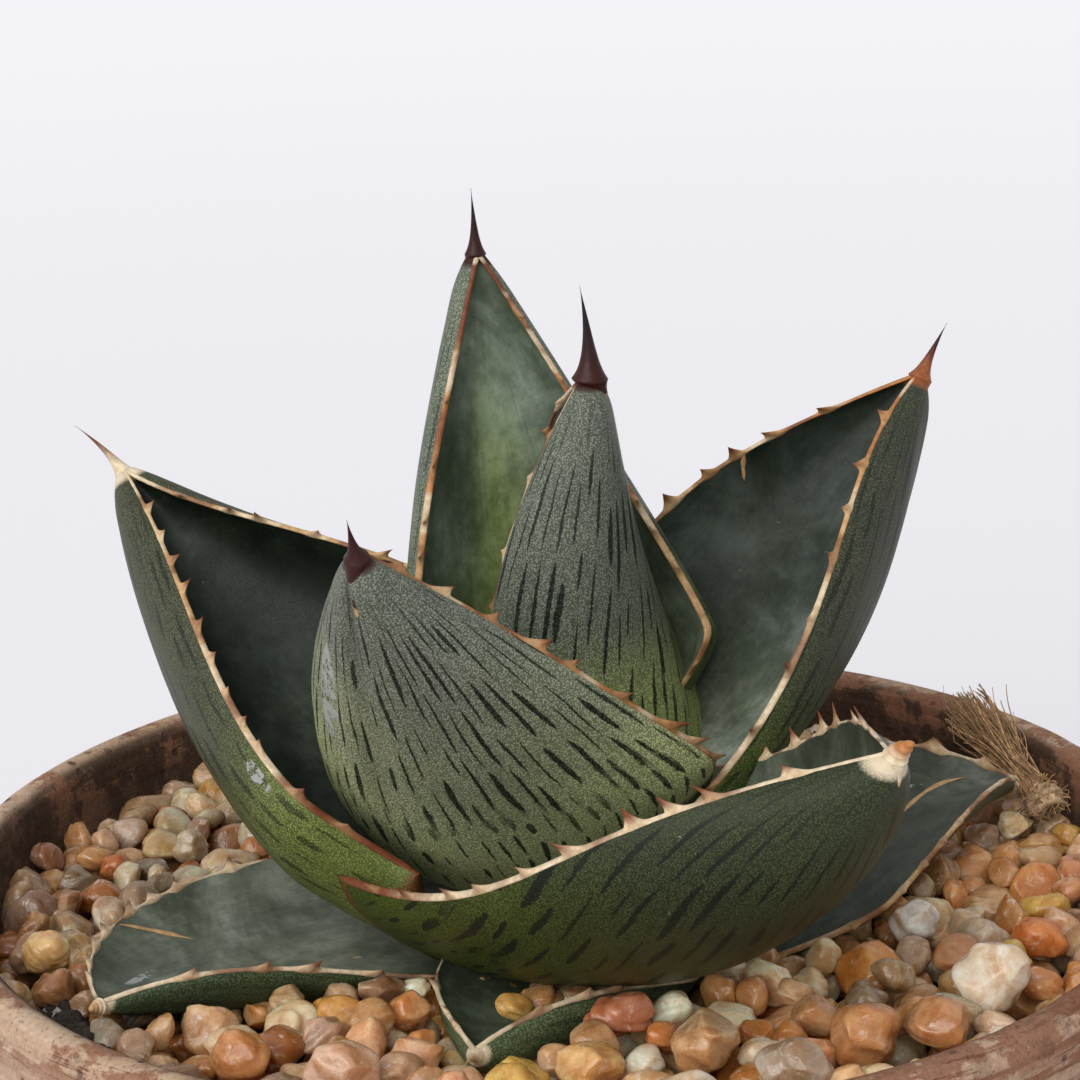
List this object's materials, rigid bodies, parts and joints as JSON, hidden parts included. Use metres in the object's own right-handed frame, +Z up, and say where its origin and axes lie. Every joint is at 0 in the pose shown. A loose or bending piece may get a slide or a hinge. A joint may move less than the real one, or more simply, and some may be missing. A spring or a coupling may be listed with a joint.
{
  "type": "potted agave",
  "caption": "Young agave rosette with toothed, spine-tipped grey-green leaves in a shallow round stoneware bowl top-dressed with rounded quartz gravel.",
  "frame": {"origin": "centre of the pot's foot, on the surface that it stands on", "axes": "+Z up, -Y to the front, from which the low broad leaf faces the viewer"},
  "size_m": [0.1898, 0.1898, 0.1612],
  "materials": {
    "stoneware": "unglazed pink-beige clay with brown specks and turning lines",
    "soil": "dark moist potting mix with pale mineral flecks",
    "gravel": "smooth rounded quartz, cream to amber, half translucent",
    "pale_quartz": "smooth cream and white quartz",
    "amber_quartz": "smooth honey and orange quartz",
    "leaf": "grey-green mealy skin with dark lengthwise dashes",
    "horn": "horny cream to red-brown margin, teeth and spine",
    "stem": "matt fibrous stem and roots",
    "jute": "frayed natural bast fibre"
  },
  "bodies": {
    "root": {"pot": "stoneware", "potting_soil": "soil", "gravel_layer": "gravel", "rootstock": "stem", "leaf_center": "leaf", "leaf_back": "leaf", "leaf_bud": "leaf", "leaf_front": "leaf", "leaf_right": "leaf", "leaf_left": "leaf", "leaf_rear": "leaf", "leaf_front_low": "leaf", "leaf_ground_right": "leaf", "leaf_ground_front": "leaf", "leaf_ground_left": "leaf", "leaf_rear_low": "leaf", "stone_cream_large": "pale_quartz", "stone_white_right": "pale_quartz", "stone_cream_rear": "pale_quartz", "stone_grey_front": "pale_quartz", "stone_red_front": "amber_quartz", "stone_orange_right": "amber_quartz", "stone_orange_front": "amber_quartz", "stone_yellow_left": "amber_quartz", "stone_honey_front": "amber_quartz", "stone_pink_left": "amber_quartz", "stone_amber_left": "amber_quartz", "stone_brown_rear": "amber_quartz", "jute_tuft": "jute"}
  },
  "joints": []
}
